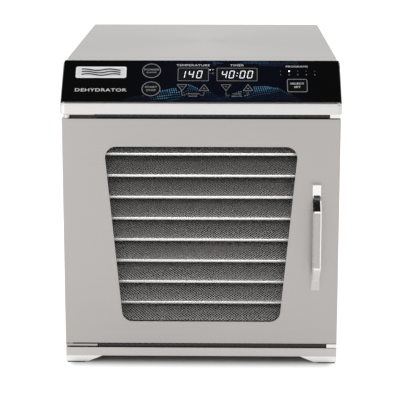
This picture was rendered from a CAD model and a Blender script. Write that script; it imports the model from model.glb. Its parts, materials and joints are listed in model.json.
import json
import math
import random

import bmesh
import bpy
from mathutils import Matrix, Vector

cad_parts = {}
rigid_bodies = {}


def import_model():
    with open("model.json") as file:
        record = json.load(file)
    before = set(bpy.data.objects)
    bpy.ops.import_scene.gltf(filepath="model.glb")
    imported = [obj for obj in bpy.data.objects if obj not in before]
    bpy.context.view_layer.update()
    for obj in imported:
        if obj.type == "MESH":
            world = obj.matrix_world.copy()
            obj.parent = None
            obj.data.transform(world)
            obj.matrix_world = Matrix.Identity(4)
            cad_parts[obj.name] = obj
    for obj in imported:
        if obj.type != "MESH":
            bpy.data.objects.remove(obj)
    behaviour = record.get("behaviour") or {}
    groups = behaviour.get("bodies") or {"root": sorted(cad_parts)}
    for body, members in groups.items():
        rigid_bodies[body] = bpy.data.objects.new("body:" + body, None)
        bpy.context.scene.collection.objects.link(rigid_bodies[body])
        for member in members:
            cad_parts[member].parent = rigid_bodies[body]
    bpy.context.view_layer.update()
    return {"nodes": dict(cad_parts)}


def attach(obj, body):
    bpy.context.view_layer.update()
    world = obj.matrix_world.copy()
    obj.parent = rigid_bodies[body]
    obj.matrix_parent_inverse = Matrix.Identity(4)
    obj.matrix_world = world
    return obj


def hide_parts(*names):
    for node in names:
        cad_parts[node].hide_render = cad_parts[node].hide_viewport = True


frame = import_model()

nodes = frame["nodes"]
random.seed(7)
MM = 0.001
FRONT = -0.273

# ------------------------------------------------------------------ camera, light, floor
scene = bpy.context.scene
scene.view_settings.view_transform = "Standard"
scene.view_settings.look = "None"
cam_data = bpy.data.cameras.new("camera")
cam = bpy.data.objects.new("camera", cam_data)
scene.collection.objects.link(cam)
cam_data.sensor_width = 36.0
cam_data.lens = 136.2
cam_data.clip_end = 100
cam.location = (0.036, FRONT - 2.297, 0.775)
cam.rotation_euler = (math.radians(90 - 12.5), 0, math.radians(0.94))
scene.camera = cam


def area(name, loc, target, size, power, size_y=None, colour=(1, 1, 1)):
    d = bpy.data.lights.new(name, "AREA")
    d.shape = "RECTANGLE"
    d.size, d.size_y = size, size_y or size
    d.energy = power
    d.color = colour
    o = bpy.data.objects.new(name, d)
    scene.collection.objects.link(o)
    o.location = loc
    o.rotation_euler = (Vector(target) - Vector(loc)).to_track_quat("-Z", "Y").to_euler()
    return o


world = bpy.data.worlds.new("studio")
scene.world = world
world.use_nodes = True
wt = world.node_tree
bg = wt.nodes["Background"]
coord = wt.nodes.new("ShaderNodeTexCoord")
sep = wt.nodes.new("ShaderNodeSeparateXYZ")
ramp = wt.nodes.new("ShaderNodeValToRGB")
wt.links.new(coord.outputs["Generated"], sep.inputs[0])
wt.links.new(sep.outputs["Z"], ramp.inputs["Fac"])
wt.links.new(ramp.outputs["Color"], bg.inputs["Color"])
els = ramp.color_ramp.elements
els[0].position, els[0].color = 0.0, (0.73, 0.728, 0.725, 1)
els[1].position, els[1].color = 1.0, (0.95, 0.945, 0.94, 1)
for pos, v in ((0.12, 0.78), (0.35, 0.88), (0.6, 0.95), (0.85, 0.97)):
    e = els.new(pos)
    e.color = (v, v * 0.996, v * 0.992, 1)
# a dark flag hangs above and a little in front, as over a studio table
flag = wt.nodes.new("ShaderNodeVectorMath")
flag.operation = "DOT_PRODUCT"
wt.links.new(coord.outputs["Generated"], flag.inputs[0])
flag.inputs[1].default_value = (0.0, -0.139, 0.990)
edge_r = wt.nodes.new("ShaderNodeMapRange")
edge_r.inputs["From Min"].default_value = 0.925
edge_r.inputs["From Max"].default_value = 0.955
edge_r.inputs["To Min"].default_value = 1.42
edge_r.inputs["To Max"].default_value = 0.03
wt.links.new(flag.outputs["Value"], edge_r.inputs["Value"])
# grey flats stand to the front left and front right, and shape the rounded edges
back = wt.nodes.new("ShaderNodeMath")
back.operation = "MULTIPLY"
back.inputs[1].default_value = -1.0
wt.links.new(sep.outputs["Y"], back.inputs[0])
turn = wt.nodes.new("ShaderNodeMath")
turn.operation = "ARCTAN2"
wt.links.new(sep.outputs["X"], turn.inputs[0])
wt.links.new(back.outputs[0], turn.inputs[1])
around = wt.nodes.new("ShaderNodeMapRange")
around.inputs["From Min"].default_value = -math.pi
around.inputs["From Max"].default_value = math.pi
wt.links.new(turn.outputs[0], around.inputs["Value"])
flats = wt.nodes.new("ShaderNodeValToRGB")
wt.links.new(around.outputs[0], flats.inputs["Fac"])
fe = flats.color_ramp.elements
fe[0].position, fe[0].color = 0.0, (1, 1, 1, 1)
fe[1].position, fe[1].color = 1.0, (1, 1, 1, 1)
for deg, v in ((-100, 1.0), (-82, 0.75), (-66, 0.50), (-50, 0.58), (-34, 1.0), (0, 1.0), (16, 0.94), (28, 0.62), (48, 0.36), (68, 0.46), (84, 0.8), (100, 1.0)):
    e = fe.new(0.5 + deg / 360)
    e.color = (v, v, v, 1)
level = wt.nodes.new("ShaderNodeMath")
level.operation = "MULTIPLY"
wt.links.new(edge_r.outputs[0], level.inputs[0])
wt.links.new(flats.outputs["Color"], level.inputs[1])
wt.links.new(level.outputs[0], bg.inputs["Strength"])

area("key_left", (-1.10, -1.15, 0.34), (-0.1, -0.27, 0.15), 1.6, 3.0, 1.2)
area("high_left", (-2.2, -2.4, 2.1), (0, 0, 0.25), 1.6, 7, 1.6)
inside = area("into_chamber", (0.0, -2.62, 0.92), (0, -0.2, 0.22), 0.9, 60, 0.25)
area("key_right", (2.3, -2.2, 1.7), (0, 0, 0.25), 1.2, 2, 1.6)
area("top_soft", (0.0, 1.8, 2.2), (0, 0.1, 0.4), 1.8, 3, 1.0)

floor_mesh = bpy.data.meshes.new("floor")
fb = bmesh.new()
bmesh.ops.create_grid(fb, x_segments=8, y_segments=8, size=14)
fb.to_mesh(floor_mesh)
fb.free()
floor = bpy.data.objects.new("floor", floor_mesh)
scene.collection.objects.link(floor)


# ------------------------------------------------------------------ materials
def new_mat(name):
    m = bpy.data.materials.new(name)
    m.use_nodes = True
    nt = m.node_tree
    return m, nt, nt.nodes["Principled BSDF"]


def add(nt, kind, **inputs):
    n = nt.nodes.new(kind)
    for k, v in inputs.items():
        n.inputs[k].default_value = v
    return n


def coords(nt, scale, rot=(0, 0, 0)):
    c = nt.nodes.new("ShaderNodeTexCoord")
    mp = nt.nodes.new("ShaderNodeMapping")
    mp.inputs["Scale"].default_value = scale
    mp.inputs["Rotation"].default_value = rot
    nt.links.new(c.outputs["Object"], mp.inputs["Vector"])
    return mp


def noise(nt, mp, scale, detail=3.0, rough=0.55):
    n = nt.nodes.new("ShaderNodeTexNoise")
    n.inputs["Scale"].default_value = scale
    n.inputs["Detail"].default_value = detail
    n.inputs["Roughness"].default_value = rough
    nt.links.new(mp.outputs["Vector"], n.inputs["Vector"])
    return n


def remap(nt, src, lo, hi, a=0.3, b=0.7):
    r = nt.nodes.new("ShaderNodeMapRange")
    r.inputs["From Min"].default_value = a
    r.inputs["From Max"].default_value = b
    r.inputs["To Min"].default_value = lo
    r.inputs["To Max"].default_value = hi
    nt.links.new(src, r.inputs["Value"])
    return r


def tint(nt, src, dark, light):
    mix = nt.nodes.new("ShaderNodeMix")
    mix.data_type = "RGBA"
    mix.inputs["A"].default_value = (*dark, 1)
    mix.inputs["B"].default_value = (*light, 1)
    nt.links.new(src, mix.inputs["Factor"])
    return mix


def bump(nt, src, bsdf, strength, distance):
    b = nt.nodes.new("ShaderNodeBump")
    b.inputs["Strength"].default_value = strength
    b.inputs["Distance"].default_value = distance
    nt.links.new(src, b.inputs["Height"])
    nt.links.new(b.outputs["Normal"], bsdf.inputs["Normal"])
    return b


def metal(name, base, rough, stretch, spread=0.06, bump_s=0.12, aniso=0.0, tangent=None, mottle=0.04, metallic=1.0):
    """Brushed or rolled metal. stretch is the texture scale along X, Y and Z: small along the grain."""
    m, nt, p = new_mat(name)
    p.inputs["Metallic"].default_value = metallic
    mp = coords(nt, stretch)
    grain = noise(nt, mp, 1.0, 4.0, 0.6)
    wide = noise(nt, coords(nt, (3.1, 3.1, 3.1)), 1.0, 2.0, 0.5)
    g = remap(nt, grain.outputs["Fac"], 0, 1, 0.25, 0.75)
    w = remap(nt, wide.outputs["Fac"], 0, 1, 0.3, 0.7)
    fac = nt.nodes.new("ShaderNodeMath")
    fac.operation = "MULTIPLY_ADD"
    nt.links.new(g.outputs[0], fac.inputs[0])
    fac.inputs[1].default_value = 0.62
    half = nt.nodes.new("ShaderNodeMath")
    half.operation = "MULTIPLY"
    nt.links.new(w.outputs[0], half.inputs[0])
    half.inputs[1].default_value = 0.38
    nt.links.new(half.outputs[0], fac.inputs[2])
    d = mottle
    c = tint(nt, fac.outputs[0], [v * (1 - d) for v in base], [min(1, v * (1 + d)) for v in base])
    nt.links.new(c.outputs["Result"], p.inputs["Base Color"])
    r = remap(nt, fac.outputs[0], rough - spread / 2, rough + spread / 2, 0, 1)
    nt.links.new(r.outputs[0], p.inputs["Roughness"])
    p.inputs["Anisotropic"].default_value = aniso
    if bump_s:
        bump(nt, grain.outputs["Fac"], p, bump_s, 0.00012)
    return m


def plain(name, base, rough, grain=900.0, bump_s=0.15, mottle=0.08, metallic=0.0, specular=0.5, spread=0.08, coat=0.0):
    m, nt, p = new_mat(name)
    p.inputs["Metallic"].default_value = metallic
    p.inputs["Specular IOR Level"].default_value = specular
    p.inputs["Coat Weight"].default_value = coat
    fine = noise(nt, coords(nt, (1, 1, 1)), grain, 3.0, 0.6)
    wide = noise(nt, coords(nt, (1, 1, 1)), 14.0, 2.0, 0.5)
    g = remap(nt, wide.outputs["Fac"], 0, 1)
    c = tint(nt, g.outputs[0], [v * (1 - mottle) for v in base], [min(1, v * (1 + mottle)) for v in base])
    nt.links.new(c.outputs["Result"], p.inputs["Base Color"])
    r = remap(nt, wide.outputs["Fac"], rough - spread / 2, rough + spread / 2)
    nt.links.new(r.outputs[0], p.inputs["Roughness"])
    if bump_s:
        bump(nt, fine.outputs["Fac"], p, bump_s, 0.00008)
    return m


def glow(name, base, colour, strength):
    m = plain(name, base, 0.35, bump_s=0.0)
    p = m.node_tree.nodes["Principled BSDF"]
    p.inputs["Emission Color"].default_value = (*colour, 1)
    p.inputs["Emission Strength"].default_value = strength
    return m


M = {}
M["front"] = metal("brushed_front", (0.410, 0.390, 0.376), 0.34, (5, 700, 700), 0.08, 0.10, 0.35, mottle=0.05)
M["case"] = metal("brushed_case", (0.405, 0.387, 0.372), 0.33, (5, 5, 650), 0.08, 0.10, 0.3, mottle=0.05)
M["case_top"] = metal("brushed_case_top", (0.272, 0.260, 0.250), 0.33, (5, 650, 650), 0.08, 0.10, 0.3, mottle=0.05)
M["head"] = metal("brushed_head", (0.615, 0.606, 0.598), 0.30, (5, 650, 650), 0.07, 0.08, 0.3, mottle=0.035)
M["liner"] = metal("rolled_liner", (0.42, 0.405, 0.395), 0.42, (500, 6, 500), 0.1, 0.10, mottle=0.08)
M["rail"] = metal("brushed_rail", (0.500, 0.480, 0.466), 0.32, (5, 650, 650), 0.08, 0.08, 0.3, mottle=0.04)
M["rear"] = metal("rolled_rear", (0.55, 0.54, 0.53), 0.36, (5, 600, 600), 0.08, 0.10, mottle=0.05)
M["tray"] = metal("tray_steel", (0.43, 0.425, 0.42), 0.48, (6, 420, 420), 0.08, 0.06, mottle=0.05, metallic=0.75)
M["sheet"] = metal("mesh_steel", (0.95, 0.90, 0.86), 0.5, (60, 60, 60), 0.1, 0.06, mottle=0.08, metallic=0.35)
M["hole"] = metal("hole_edge", (0.035, 0.031, 0.028), 0.5, (60, 60, 60), 0.1, 0.06, mottle=0.10)
M["polish"] = metal("polished_steel", (0.74, 0.735, 0.73), 0.08, (300, 300, 8), 0.05, 0.02, mottle=0.02)
M["satin"] = metal("satin_bend", (0.80, 0.795, 0.79), 0.34, (300, 300, 8), 0.05, 0.02, mottle=0.02, metallic=0.8)
M["grip"] = metal("satin_grip", (0.40, 0.385, 0.375), 0.26, (900, 900, 8), 0.10, 0.05, 0.3, mottle=0.10)
M["bracket"] = metal("satin_bracket", (0.40, 0.385, 0.375), 0.34, (6, 300, 300), 0.06, 0.04, mottle=0.05)
M["feet"] = metal("satin_feet", (0.74, 0.735, 0.73), 0.24, (6, 300, 300), 0.06, 0.04, mottle=0.03)
M["zinc"] = metal("zinc_plate", (0.56, 0.57, 0.58), 0.42, (46, 46, 46), 0.16, 0.06, mottle=0.14)
M["screw"] = metal("screw_steel", (0.58, 0.57, 0.56), 0.28, (300, 300, 300), 0.1, 0.05, mottle=0.06)
M["copper"] = metal("copper_winding", (0.62, 0.30, 0.16), 0.4, (900, 20, 900), 0.1, 0.25, mottle=0.18)
M["element"] = metal("heated_sheath", (0.20, 0.165, 0.14), 0.5, (60, 60, 60), 0.14, 0.10, mottle=0.3)
M["alu"] = metal("pressed_aluminium", (0.72, 0.725, 0.73), 0.34, (60, 60, 60), 0.1, 0.05, mottle=0.06)
M["badge"] = metal("badge_silver", (0.86, 0.86, 0.87), 0.34, (12, 500, 500), 0.06, 0.05, mottle=0.05, metallic=0.25)
M["badge_panel"] = metal("badge_panel", (0.74, 0.74, 0.75), 0.4, (12, 500, 500), 0.06, 0.05, mottle=0.10, metallic=0.3)
M["badge_line"] = plain("badge_line", (0.004, 0.004, 0.005), 0.3)
M["rubber"] = plain("rubber", (0.018, 0.018, 0.018), 0.72, 700, 0.3)
M["gasket"] = plain("silicone_gasket", (0.05, 0.048, 0.046), 0.55, 500, 0.15)
M["black"] = plain("black_plastic", (0.016, 0.016, 0.017), 0.5, 1100, 0.25)
M["rib"] = plain("black_rib", (0.020, 0.0195, 0.019), 0.45, 1100, 0.2)
M["nylon"] = plain("nylon", (0.56, 0.545, 0.50), 0.45)
M["magnet"] = plain("dark_magnet", (0.03, 0.03, 0.033), 0.4)
M["board"] = plain("solder_mask", (0.015, 0.16, 0.06), 0.35, 400, 0.2, 0.2)
M["wire"] = plain("wire_insulation", (0.42, 0.025, 0.02), 0.4)
M["overlay"] = plain("overlay_film", (0.0028, 0.0032, 0.0042), 0.14, 1600, 0.04, 0.3, specular=0.2, spread=0.05)
ont = M["overlay"].node_tree
osep = ont.nodes.new("ShaderNodeSeparateXYZ")
ont.links.new(coords(ont, (1, 1, 1)).outputs["Vector"], osep.inputs[0])
ofade = remap(ont, osep.outputs["X"], 0.0, 1.0, -0.13, -0.03)
ofade.interpolation_type = "SMOOTHSTEP"
oback = remap(ont, osep.outputs["X"], 1.0, 0.0, 0.06, 0.19)
oback.interpolation_type = "SMOOTHSTEP"
ofac = ont.nodes.new("ShaderNodeMath")
ofac.operation = "MULTIPLY"
ont.links.new(ofade.outputs[0], ofac.inputs[0])
ont.links.new(oback.outputs[0], ofac.inputs[1])
onavy = tint(ont, ofac.outputs[0], (0.0026, 0.0027, 0.0030), (0.0028, 0.0036, 0.0085))
ont.links.new(onavy.outputs["Result"], ont.nodes["Principled BSDF"].inputs["Base Color"])
M["dome"] = plain("key_dome", (0.0032, 0.0036, 0.0046), 0.22, 1600, 0.05, 0.3, specular=0.2)
M["window"] = plain("display_window", (0.008, 0.0085, 0.01), 0.12, 1600, 0.03, 0.2, specular=0.3)
M["print"] = plain("print_grey", (0.60, 0.60, 0.61), 0.5, 1600, 0.05, specular=0.2)
M["print_dim"] = plain("print_dim", (0.26, 0.26, 0.265), 0.5, 1600, 0.05, specular=0.2)
M["digits"] = glow("lit_segment", (0.7, 0.72, 0.75), (0.93, 0.97, 1.0), 0.75)
M["lamp"] = glow("lit_lamp", (0.8, 0.8, 0.8), (1.0, 1.0, 1.0), 2.2)
M["lamp_off"] = plain("unlit_lamp", (0.10, 0.10, 0.11), 0.4, specular=0.3)
M["wave"] = plain("blue_dot", (0.10, 0.30, 0.46), 0.5, specular=0.2)
M["wave_mid"] = plain("blue_dot_mid", (0.035, 0.12, 0.23), 0.5, specular=0.2)
M["wave_dim"] = plain("blue_dot_dim", (0.014, 0.040, 0.10), 0.5, specular=0.2)

g, gnt, gp = new_mat("door_glass_clear")
gp.inputs["Base Color"].default_value = (0.12, 0.14, 0.14, 1)
gp.inputs["Alpha"].default_value = 0.035
gp.inputs["IOR"].default_value = 1.5
gn = noise(gnt, coords(gnt, (1, 1, 1)), 9.0, 2.0)
gr = remap(gnt, gn.outputs["Fac"], 0.015, 0.05)
gnt.links.new(gr.outputs[0], gp.inputs["Roughness"])
M["glass"] = g

fm, fnt, fp = new_mat("studio_floor")
fn = noise(fnt, coords(fnt, (1, 1, 1)), 1.2, 2.0)
fc = tint(fnt, fn.outputs["Fac"], (0.395, 0.395, 0.395), (0.405, 0.405, 0.405))
fnt.links.new(fc.outputs["Result"], fp.inputs["Base Color"])
fp.inputs["Roughness"].default_value = 0.9
fp.inputs["Emission Color"].default_value = (1, 1, 1, 1)
# the table glows softly from below, except close round the feet
fgeo = fnt.nodes.new("ShaderNodeTexCoord")
fabs = fnt.nodes.new("ShaderNodeVectorMath")
fabs.operation = "ABSOLUTE"
fnt.links.new(fgeo.outputs["Object"], fabs.inputs[0])
fsub = fnt.nodes.new("ShaderNodeVectorMath")
fsub.operation = "SUBTRACT"
fsub.inputs[1].default_value = (0.196, 0.253, 0.0)
fnt.links.new(fabs.outputs["Vector"], fsub.inputs[0])
fmax = fnt.nodes.new("ShaderNodeVectorMath")
fmax.operation = "MAXIMUM"
fmax.inputs[1].default_value = (0.0, 0.0, 0.0)
fnt.links.new(fsub.outputs["Vector"], fmax.inputs[0])
fstretch = fnt.nodes.new("ShaderNodeVectorMath")
fstretch.operation = "MULTIPLY"
fstretch.inputs[1].default_value = (2.2, 1.0, 1.0)
fnt.links.new(fmax.outputs["Vector"], fstretch.inputs[0])
flen = fnt.nodes.new("ShaderNodeVectorMath")
flen.operation = "LENGTH"
fnt.links.new(fstretch.outputs["Vector"], flen.inputs[0])
fem = remap(fnt, flen.outputs["Value"], 0.0, 0.80, 0.004, 0.052)
fem.interpolation_type = "SMOOTHSTEP"
fnt.links.new(fem.outputs[0], fp.inputs["Emission Strength"])
fp.inputs["Specular IOR Level"].default_value = 0.1
floor.data.materials.append(fm)

PAINT = {
    "case_wrap": "case", "rear_panel": "rear", "base_front_rail": "rail", "face_frame": "front", "door_skin": "front", "door_liner": "front",
    "head_housing": "head", "head_floor": "black", "base_pan": "zinc", "fan_partition": "zinc", "electronics_deck": "zinc", "motor_bracket": "zinc", "motor_stack": "zinc",
    "motor_shaft": "screw", "element_clips": "zinc", "chamber_liner": "liner", "tray_ledges": "tray", "fan_baffle": "liner", "temperature_probe": "screw",
    "feet": "feet", "corner_pieces": "feet", "hinge_plates": "bracket", "hinge_pins": "screw", "door_handle": "polish",
    "rear_panel_screws": "screw", "foot_screws": "screw", "motor_screws": "screw", "handle_screws": "screw", "catch_strike": "screw", "door_magnet": "magnet",
    "inlet_metalwork": "screw", "foot_pads": "rubber", "glass_gasket": "gasket", "door_seal": "gasket", "gap_trims": "black", "mains_inlet": "black", "fan_impeller": "alu",
    "hinge_bushes": "nylon", "thermal_cutout": "magnet", "heating_element": "element", "motor_coil": "copper", "control_overlay": "overlay", "badge_plate": "badge",
    "led_displays": "window", "indicator_lamps": "lamp_off", "display_board": "board", "power_board": "board", "wiring": "wire", "door_glass": "glass",
}
for node, key in PAINT.items():
    o = nodes[node]
    o.data.materials.clear()
    o.data.materials.append(M[key])
    for poly in o.data.polygons:
        poly.material_index = 0




def repaint(node, key, test):
    """Gives the faces of a CAD node that pass the test (centre, normal) another material."""
    me = nodes[node].data
    me.materials.append(M[key])
    i = len(me.materials) - 1
    for poly in me.polygons:
        if test(poly.center, poly.normal):
            poly.material_index = i


repaint("head_housing", "case_top", lambda c, n: n.z > 0.97 and c.z > 0.478)
repaint("case_wrap", "case_top", lambda c, n: n.z > 0.7)
repaint("door_handle", "grip", lambda c, n: c.y < FRONT - 0.030 and (n.y < -0.97 or (n.x < -0.5 and n.y < -0.5 and abs(n.z) < 0.3)))
repaint("door_handle", "rail", lambda c, n: c.z < 0.139 and n.y < -0.97)
repaint("door_handle", "satin", lambda c, n: c.z < 0.166 and n.y < 0.1 and n.z < -0.15 and c.y < FRONT - 0.012)

# ------------------------------------------------------------------ mesh helpers
def piece(name, bm, mats, body, replaces=(), smooth=None):
    me = bpy.data.meshes.new(name)
    bm.to_mesh(me)
    bm.free()
    for m in mats:
        me.materials.append(M[m])
    o = bpy.data.objects.new(name, me)
    scene.collection.objects.link(o)
    if smooth:
        for poly in me.polygons:
            poly.use_smooth = True
        me.set_sharp_from_angle(angle=math.radians(smooth))
    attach(o, body)
    if replaces:
        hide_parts(*replaces)
    return o


def quad(bm, pts, mat=0):
    f = bm.faces.new([bm.verts.new(p) for p in pts])
    f.material_index = mat
    return f


def rounded(w, d, r, n=6):
    """Outline of a rounded rectangle of half sizes w and d, anticlockwise."""
    pts = []
    for cx, cy, a0 in ((w - r, d - r, 0), (-w + r, d - r, 90), (-w + r, -d + r, 180), (w - r, -d + r, 270)):
        for i in range(n + 1):
            a = math.radians(a0 + 90 * i / n)
            pts.append((cx + r * math.cos(a), cy + r * math.sin(a)))
    return pts


def ring_sweep(bm, w, d, r, profile, origin, mat=0, n=6):
    """Sweeps a closed profile of (inward offset, z) round a rounded rectangle."""
    loops = []
    for off, z in profile:
        loops.append([bm.verts.new((origin[0] + x, origin[1] + y, origin[2] + z)) for x, y in rounded(w - off, d - off, max(r - off, 0.0004), n)])
    k = len(loops[0])
    for a in range(len(loops)):
        la, lb = loops[a], loops[(a + 1) % len(loops)]
        for i in range(k):
            f = bm.faces.new((la[i], la[(i + 1) % k], lb[(i + 1) % k], lb[i]))
            f.material_index = mat


# ------------------------------------------------------------------ trays
TW, TD = 0.392, 0.378
TRAY_Y0 = FRONT + 0.046


def tray_bm():
    """One tray about its rim's middle, front edge at y = 0."""
    bm = bmesh.new()
    cx, cy = 0.0, TD / 2
    prof = []
    rr = 0.0009
    h, t = 0.0045 / 2, 0.004
    for px, pz, a0 in ((rr, h - rr, 180), (t - rr, h - rr, 90), (t - rr, -h + rr, 0), (rr, -h + rr, 270)):
        for i in range(4):
            a = math.radians(a0 - 90 * i / 3)
            prof.append((px + rr * math.cos(a), pz + rr * math.sin(a)))
    ring_sweep(bm, TW / 2, TD / 2, 0.009, prof, (cx, cy, 0.0), 0, 7)
    for bx in (-0.065, 0.065):
        bar = rounded(0.0015, 0.00125, 0.0006, 2)
        a = [bm.verts.new((bx + x, 0.003, -0.00065 + z)) for x, z in bar]
        b = [bm.verts.new((bx + x, TD - 0.003, -0.00065 + z)) for x, z in bar]
        for i in range(len(a)):
            bm.faces.new((a[i], b[i], b[(i + 1) % len(a)], a[(i + 1) % len(a)])).material_index = 0
    # perforated sheet: staggered diamond openings, long from front to back, with turned-down edges
    zt, zb = 0.00145, -0.00055
    cols, rows = 74, 54
    col_w, row_h = (TW - 0.012) / cols, (TD - 0.014) / rows
    x_lo, y_lo = -(TW - 0.012) / 2, 0.007
    keep = 0.72
    for j in range(rows):
        yc = y_lo + (j + 0.5) * row_h
        shift = 0.25 if j % 2 else -0.25
        for i in range(cols):
            xc = x_lo + (i + 0.5 + shift) * col_w
            vo, vi, vl = [], [], []
            for ox, oy in ((0.5, 0), (0, 1), (-0.5, 0), (0, -1)):
                dx, dy = ox * col_w, oy * row_h
                vo.append(bm.verts.new((xc + dx, yc + dy, zt)))
                vi.append(bm.verts.new((xc + dx * keep, yc + dy * keep, zt)))
                vl.append(bm.verts.new((xc + dx * keep, yc + dy * keep, zb)))
            for k in range(4):
                n = (k + 1) % 4
                bm.faces.new((vo[k], vo[n], vi[n], vi[k])).material_index = 1
                bm.faces.new((vi[k], vi[n], vl[n], vl[k])).material_index = 2
    # plain margin of the sheet, out to the rim
    for x0, x1, y0, y1 in ((-TW / 2 + 0.003, x_lo + 0.0012, 0.003, TD - 0.003), (-x_lo - 0.0012, TW / 2 - 0.003, 0.003, TD - 0.003), (x_lo, -x_lo, 0.003, y_lo + 0.0020), (x_lo, -x_lo, TD - y_lo - 0.0020, TD - 0.003)):
        quad(bm, ((x0, y0, zt + 0.00003), (x1, y0, zt + 0.00003), (x1, y1, zt + 0.00003), (x0, y1, zt + 0.00003)), 1)
    return bm


tray_mesh = bpy.data.meshes.new("perforated_tray")
tb = tray_bm()
tb.to_mesh(tray_mesh)
tb.free()
tray_mesh.materials.append(M["tray"])
tray_mesh.materials.append(M["sheet"])
tray_mesh.materials.append(M["hole"])
for poly in tray_mesh.polygons:
    poly.use_smooth = poly.material_index == 0
tray_mesh.set_sharp_from_angle(angle=math.radians(50))
for k in range(1, 11):
    o = bpy.data.objects.new(f"perforated_tray_{k:02d}", tray_mesh)
    scene.collection.objects.link(o)
    o.location = (0, TRAY_Y0, (51.7 + 34.7 * (k - 1)) * MM)
    bpy.context.view_layer.update()
    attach(o, f"tray_{k:02d}_body")
    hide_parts(f"tray_{k:02d}")

# the light through the window reaches the trays and the chamber only
lit = bpy.data.collections.new("chamber_only")
for o in scene.objects:
    if o.name.startswith("perforated_tray") or o.name in ("chamber_liner", "fan_baffle", "tray_ledges"):
        lit.objects.link(o)
inside.light_linking.receiver_collection = lit

# ------------------------------------------------------------------ control face graphics
HEAD_FRONT_Y, HEAD_BEND_Z = FRONT - 0.026, 0.4199
RUN = ((FRONT + 0.0395) - HEAD_FRONT_Y, 0.4786 - HEAD_BEND_Z)
L = math.hypot(*RUN)
CS, SN = RUN[0] / L, RUN[1] / L
FACE = Matrix(((1, 0, 0, 0), (0, CS, -SN, HEAD_FRONT_Y), (0, SN, CS, HEAD_BEND_Z), (0, 0, 0, 1)))
TOP = 0.6  # the overlay's surface above the sheet, mm


def on_face(x, s, h):
    return FACE @ Vector((x * MM, s * MM, h * MM))


def poly_on_face(bm, pts, h, mat=0, thick=0.0):
    top = [bm.verts.new(on_face(x, s, h + thick)) for x, s in pts]
    bm.faces.new(top).material_index = mat
    if thick:
        low = [bm.verts.new(on_face(x, s, h)) for x, s in pts]
        n = len(pts)
        for i in range(n):
            bm.faces.new((low[i], low[(i + 1) % n], top[(i + 1) % n], top[i])).material_index = mat


def line_on_face(bm, pts, width, h, mat=0, closed=False, thick=0.04):
    """A band of the given width round a path of (x, s) points."""
    n = len(pts)
    out = []
    for i in range(n):
        a = Vector(pts[i - 1]) if (i or closed) else None
        b = Vector(pts[(i + 1) % n]) if (i < n - 1 or closed) else None
        c = Vector(pts[i])
        d1 = (c - a).normalized() if a is not None else (b - c).normalized()
        d2 = (b - c).normalized() if b is not None else d1
        t = (d1 + d2).normalized() if (d1 + d2).length > 1e-6 else d1
        nrm = Vector((-t.y, t.x))
        k = 1 / max(0.35, nrm.dot(Vector((-d1.y, d1.x))))
        out.append((c + nrm * width / 2 * k, c - nrm * width / 2 * k))
    last = n if closed else n - 1
    for i in range(last):
        j = (i + 1) % n
        poly_on_face(bm, [out[i][1], out[j][1], out[j][0], out[i][0]], h, mat, thick)


def circle(x, s, r, n=56):
    return [(x + r * math.cos(2 * math.pi * i / n), s + r * math.sin(2 * math.pi * i / n)) for i in range(n)]


def round_rect(x0, x1, s0, s1, r, n=5):
    return [((x0 + x1) / 2 + a, (s0 + s1) / 2 + b) for a, b in rounded((x1 - x0) / 2, (s1 - s0) / 2, r, n)]


# membrane keys: slightly raised domes with a printed outline
kb = bmesh.new()
KEYS = []
for x, s in ((-76.8, 66.0), (-76.6, 29.9)):
    poly_on_face(kb, circle(x, s, 13.9), TOP, 0, 0.18)
    poly_on_face(kb, circle(x, s, 12.6), TOP + 0.18, 0, 0.07)
    line_on_face(kb, circle(x, s, 13.8), 0.85, TOP + 0.14, 1, True, 0.1)
for x, up in ((-29.2, 0), (4.5, 1), (38.1, 0), (71.7, 1)):
    sg = 1 if up else -1
    tri = [(x - 7.4, 32.6 - sg * 5.8), (x + 7.4, 32.6 - sg * 5.8), (x, 32.6 + sg * 6.2)]
    if sg < 0:
        tri = tri[::-1]
    poly_on_face(kb, tri, TOP, 0, 0.15)
    line_on_face(kb, tri, 0.6, TOP + 0.12, 1, True, 0.08)
    cs = 32.6 - sg * 1.8
    line_on_face(kb, [(x - 1.7, cs), (x + 1.7, cs)], 0.55, TOP + 0.15, 1, False, 0.06)
    if up:
        line_on_face(kb, [(x, cs - 1.7), (x, cs + 1.7)], 0.55, TOP + 0.15, 1, False, 0.06)
poly_on_face(kb, round_rect(132.0, 162.0, 24.6, 49.4, 2.6), TOP, 0, 0.18)
line_on_face(kb, round_rect(132.0, 162.0, 24.6, 49.4, 2.6), 0.85, TOP + 0.14, 1, True, 0.1)
piece("membrane_keys", kb, ["dome", "print_dim"], "cabinet", ["control_keys"])


def text(words, x, s, size, mat, wide=1.0, bold=0.0, align="CENTER", slant=0.0, h=0.06):
    """Words laid on the control face: x and s are the middle of the line, in mm."""
    c = bpy.data.curves.new("t", "FONT")
    c.body = words
    c.size = size * MM
    c.align_x = align
    c.align_y = "CENTER"
    c.offset = bold * MM
    c.shear = slant
    c.space_character = 1.06
    c.resolution_u = 3
    o = bpy.data.objects.new("t", c)
    scene.collection.objects.link(o)
    o.matrix_world = FACE @ Matrix.Translation((x * MM, s * MM, (TOP + h) * MM)) @ Matrix.Diagonal((wide, 1, 1, 1))
    bpy.context.view_layer.update()
    me = bpy.data.meshes.new_from_object(o)
    me.transform(o.matrix_world)
    bpy.data.objects.remove(o)
    return me, mat


def lettering(name, items, mats):
    bm = bmesh.new()
    for me, mat in items:
        n = len(bm.faces)
        bm.from_mesh(me)
        bm.faces.ensure_lookup_table()
        for f in bm.faces[n:]:
            f.material_index = mat
        bpy.data.meshes.remove(me)
    return piece(name, bm, mats, "cabinet")


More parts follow.
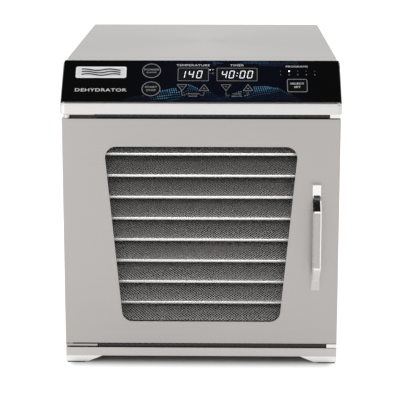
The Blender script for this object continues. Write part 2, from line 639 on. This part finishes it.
words = [
    text("DEHYDRATOR", -153.8, 27.2, 8.6, 0, 1.34, 0.02),
    text("POWER", -76.8, 68.0, 4.9, 1, 1.3, 0.05, h=0.32),
    text("ON/OFF", -76.8, 62.4, 3.4, 1, 1.25, 0.02, h=0.32),
    text("START", -76.6, 33.2, 4.9, 1, 1.25, 0.05, h=0.32),
    text("STOP", -76.6, 26.8, 4.9, 1, 1.25, 0.05, h=0.32),
    text("TEMPERATURE", -12.6, 77.2, 5.4, 0, 1.40, 0.0),
    text("TIMER", 55.0, 77.2, 5.4, 0, 1.40, 0.0),
    text("°F", 17.6, 68.2, 3.6, 0, 1.1, 0.03),
    text("°C", 17.6, 60.8, 3.6, 1, 1.1, 0.03),
    text("PROGRAMS", 147.0, 75.0, 4.6, 0, 1.38, 0.0),
    text("SELECT", 147.0, 40.6, 4.8, 0, 1.3, 0.05, h=0.25),
    text("SET", 147.0, 34.0, 4.8, 0, 1.3, 0.05, h=0.25),
    text("LOW/HIGH", -12.4, 20.2, 3.1, 1, 1.25, 0.02),
    text("RANGE", -12.4, 15.6, 3.1, 1, 1.25, 0.02),
    text("HOURS", 54.8, 20.2, 3.1, 1, 1.25, 0.02),
    text("MINUTES", 54.8, 15.6, 3.1, 1, 1.25, 0.02),
]
for i in range(5):
    words.append(text(str(i + 1), 121.9 + 13.15 * i, 58.6, 3.2, 1, 1.3, 0.03))
lettering("face_lettering", words, ["print", "print_dim"])

# printed frames, brackets, wave of dots
pb = bmesh.new()
H = TOP + 0.02
for x0, x1 in ((-35.8, 11.1), (24.1, 85.9)):
    poly_on_face(pb, round_rect(x0, x1, 46.2, 71.7, 1.0), TOP, 1, 0.05)
    line_on_face(pb, round_rect(x0, x1, 46.2, 71.7, 1.0), 0.55, TOP + 0.04, 0, True, 0.04)
for a, b in ((-29.2, 4.5), (38.1, 71.7)):
    line_on_face(pb, [(a, 24.6), (a, 17.6), (a + 6.0, 17.6)], 0.4, H, 0)
    line_on_face(pb, [(b, 24.6), (b, 17.6), (b - 6.0, 17.6)], 0.4, H, 0)
piece("face_frames", pb, ["print_dim", "window"], "cabinet")

wb = bmesh.new()


def dot(x, s, w, h, mat):
    poly_on_face(wb, [(x - w, s - h), (x + w, s - h), (x + w, s + h), (x - w, s + h)], TOP + 0.01, mat, 0.02)


def clear_of_print(x, s):
    if any(abs(x - kx) < 8.2 and 25.8 < s < 40.2 for kx in (-29.2, 4.5, 38.1, 71.7)) or math.hypot(x + 76.6, s - 29.9) < 15.2:
        return False
    if (-24 < x < -1 and 13 < s < 22.6) or (43 < x < 66.5 and 13 < s < 22.6) or (-37 < x < 12.5 and s > 45) or (22.5 < x < 87.5 and s > 45):
        return False
    return 6.4 < s < 86.0


def swell(x, pts):
    """Smooth height of a crest line through the given points."""
    for (xa, sa), (xb, sb) in zip(pts, pts[1:]):
        if xa <= x <= xb:
            u = (x - xa) / (xb - xa)
            u = u * u * (3 - 2 * u)
            return sa + (sb - sa) * u
    return None


CRESTS = (
    ([(-118, 9), (-96, 14), (-66, 25), (-40, 29.5), (-19, 38.5), (-4, 31), (14, 22), (34, 10)], 8, 3.4, -36),
    ([(18, 8), (38, 15), (58, 24), (80, 33.5), (98, 35.5), (116, 31), (134, 20), (152, 8.5)], 8, 3.4, 88),
)
for pts, rows, gap, focus in CRESTS:
    x = pts[0][0]
    while x < pts[-1][0]:
        top = swell(x, pts)
        for row in range(rows):
            xx = x + row * 0.9
            s = top - row * gap * (0.85 + 0.06 * row) + 0.7 * math.sin(xx / 9.0 + row * 0.6)
            if not clear_of_print(xx, s):
                continue
            near = math.exp(-((xx - focus) / 34) ** 2)
            lit = near * (1.0 - 0.13 * row) + (0.25 if row == 0 else 0.0) + (0.45 * math.exp(-((xx + 62) / 16) ** 2) if focus < 0 and s < 18 else 0.0)
            tier = 0 if lit > 0.66 else 1 if lit > 0.36 else 2
            dot(xx, s, (0.50, 0.44, 0.36)[tier], (1.05, 0.85, 0.6)[tier], tier)
        x += 3.3
for row in range(5):
    x = 18.0
    while x < 150:
        s = 84.6 - row * 1.9 - 5.0 * math.exp(-((x - 44) / 20) ** 2) * (1 - row / 7) + 0.6 * math.sin(x / 11)
        if clear_of_print(x, s) or (s > 80.6 and s < 86.0):
            if not (abs(x - 55) < 15 and s < 81) and not (abs(x - 147) < 20 and s < 79) and s > 73:
                dot(x, s, 0.30, 0.5, 1 if math.exp(-((x - 60) / 45) ** 2) > 0.4 and row < 3 else 2)
        x += 2.1
piece("face_wave", wb, ["wave", "wave_mid", "wave_dim"], "cabinet")

# seven-segment digits and lamps
db = bmesh.new()
SEG = {"0": "abcdef", "1": "bc", "4": "bcfg"}


def digit(ch, x, s, w, h):
    t = 0.98
    g = 0.22

    def seg(p, q):
        d = (Vector(q) - Vector(p)).normalized()
        n = Vector((-d.y, d.x))
        a, b = Vector(p) + d * g, Vector(q) - d * g
        pts = [a, a + d * t / 2 - n * t / 2, b - d * t / 2 - n * t / 2, b, b - d * t / 2 + n * t / 2, a + d * t / 2 + n * t / 2]
        poly_on_face(db, [(v.x + (v.y - s) * 0.17, v.y) for v in pts], TOP + 0.08, 0, 0.03)

    x0, x1, y0, ym, y1 = x - w / 2, x + w / 2, s - h / 2, s, s + h / 2
    ends = {"a": ((x0, y1), (x1, y1)), "b": ((x1, ym), (x1, y1)), "c": ((x1, y0), (x1, ym)), "d": ((x0, y0), (x1, y0)), "e": ((x0, y0), (x0, ym)), "f": ((x0, ym), (x0, y1)), "g": ((x0, ym), (x1, ym))}
    for k in SEG[ch]:
        seg(*ends[k])


for ch, x in (("1", -28.4), ("4", -15.6), ("0", -2.9)):
    digit(ch, x, 58.9, 6.7, 13.8)
for ch, x in (("4", 35.4), ("0", 46.8), ("0", 63.4), ("0", 75.0)):
    digit(ch, x, 58.9, 6.7, 13.8)
for s in (56.2, 61.6):
    poly_on_face(db, circle(55.2 + (s - 58.8) * 0.17, s, 0.8, 14), TOP + 0.08, 0, 0.03)
piece("lit_digits", db, ["digits"], "cabinet")
lb = bmesh.new()
for i in range(5):
    poly_on_face(lb, circle(121.9 + 13.15 * i, 65.8, 1.15 if i == 1 else 0.75, 16), TOP + 0.03, 0 if i == 1 else 1, 0.06)
poly_on_face(lb, circle(13.4, 68.2, 0.7, 14), TOP + 0.03, 0, 0.05)
poly_on_face(lb, circle(13.4, 60.8, 0.7, 14), TOP + 0.03, 1, 0.05)
piece("face_lamps", lb, ["lamp", "lamp_off"], "cabinet")

# plain badge: a raised bright border round a darker panel with three air lines
bb = bmesh.new()
X0, X1, S0, S1 = -193.3, -115.5, 51.6, 73.8
bevel = [(0.0, 0.0), (0.0, 0.45), (0.5, 0.9), (1.6, 0.9), (2.1, 0.6)]
rings = []
for off, h in bevel:
    rings.append([bb.verts.new(on_face(x, y, TOP + h)) for x, y in round_rect(X0 + off, X1 - off, S0 + off, S1 - off, max(0.3, 2.6 - off), 5)])
for a, b in zip(rings, rings[1:]):
    for i in range(len(a)):
        bb.faces.new((a[i], a[(i + 1) % len(a)], b[(i + 1) % len(a)], b[i])).material_index = 0
bb.faces.new(rings[-1]).material_index = 1
for k in range(3):
    pts = []
    for i in range(41):
        u = i / 40
        pts.append((-184.5 + 60 * u, 57.9 + 4.8 * k + 1.5 * math.sin(2 * math.pi * (u * 1.5 + 0.08 * k))))
    line_on_face(bb, pts, 2.3, TOP + 0.6, 2, False, 0.12)
piece("badge_plate_bordered", bb, ["badge", "badge_panel", "badge_line"], "cabinet", ["badge_plate"])

# ------------------------------------------------------------------ ribbed strips above and below the door
gb = bmesh.new()


def block(bm, x0, x1, y0, y1, z0, z1, r, mat=0, n=3):
    """A block with its front and back edges rounded in plan."""
    cx, cz = (x0 + x1) / 2, (z0 + z1) / 2
    out = rounded((x1 - x0) / 2, (z1 - z0) / 2, r, n)
    near = [bm.verts.new((cx + a, y0 + r * 0.5, cz + b)) for a, b in out]
    tip = [bm.verts.new((cx + a * (1 - r / (x1 - x0)), y0, cz + b * (1 - r / (z1 - z0)))) for a, b in out]
    far = [bm.verts.new((cx + a, y1, cz + b)) for a, b in out]
    k = len(out)
    for i in range(k):
        j = (i + 1) % k
        bm.faces.new((far[i], near[i], near[j], far[j])).material_index = mat
        bm.faces.new((near[i], tip[i], tip[j], near[j])).material_index = mat
    bm.faces.new(tip[::-1]).material_index = mat
    bm.faces.new(far).material_index = mat


for z0, z1, x1 in ((0.3942, 0.4042, 0.1976), (0.0255, 0.0318, 0.1986)):
    block(gb, -0.1634, x1, FRONT + 0.0046, FRONT + 0.0378, z0, z1, 0.0008, 0)
    zc = (z0 + z1) / 2
    hh = (z1 - z0) / 2 - 0.0012
    x = -0.1590
    while x + 0.0062 < x1 - 0.002:
        block(gb, x, x + 0.0060, FRONT + 0.0034, FRONT + 0.0052, zc - hh, zc + hh, 0.0012, 1)
        x += 0.0098
piece("ribbed_gap_strips", gb, ["black", "rib"], "cabinet", ["gap_trims"])
